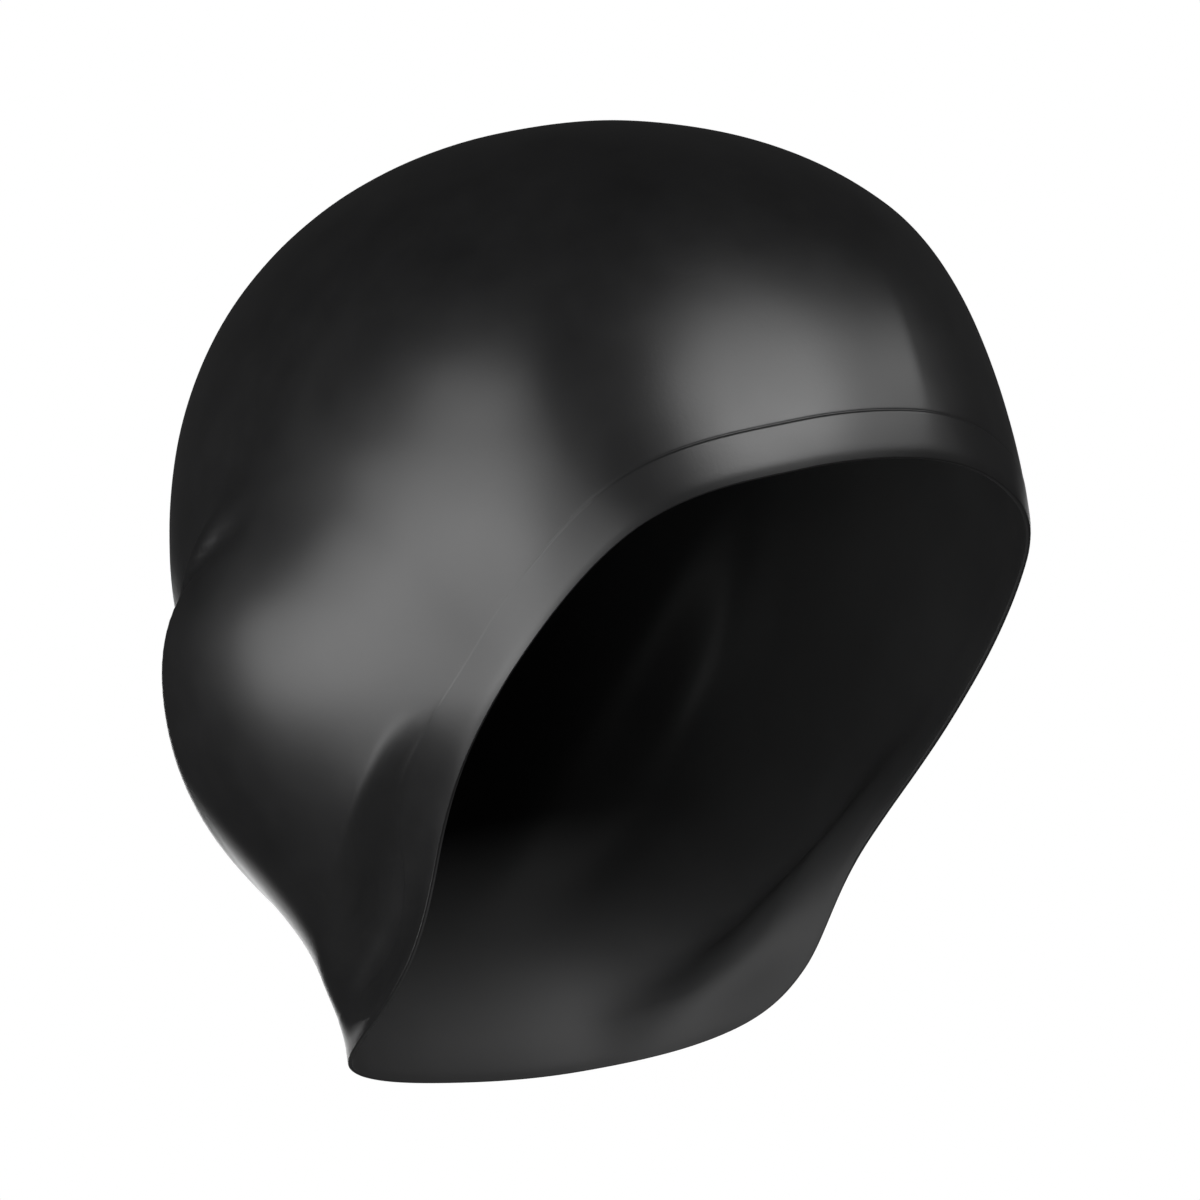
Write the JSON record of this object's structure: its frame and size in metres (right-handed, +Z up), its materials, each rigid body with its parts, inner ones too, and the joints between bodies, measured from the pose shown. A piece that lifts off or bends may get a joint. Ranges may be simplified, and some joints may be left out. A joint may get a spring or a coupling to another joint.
{
  "type": "swim cap",
  "caption": "Moulded silicone swim cap in the form it has on a head: a smooth dome, an ear pocket on each side, a flared neck and a thicker hem along the edge.",
  "frame": {"origin": "the inside of the crown, where the cap sits on the top of the head", "axes": "+Z up, the face looks along -Y, the wearer's left is +X"},
  "size_m": [0.1778, 0.2016, 0.2087],
  "materials": {
    "silicone": "satin black moulded silicone"
  },
  "bodies": {
    "root": {"cap_shell": "silicone"}
  },
  "joints": []
}
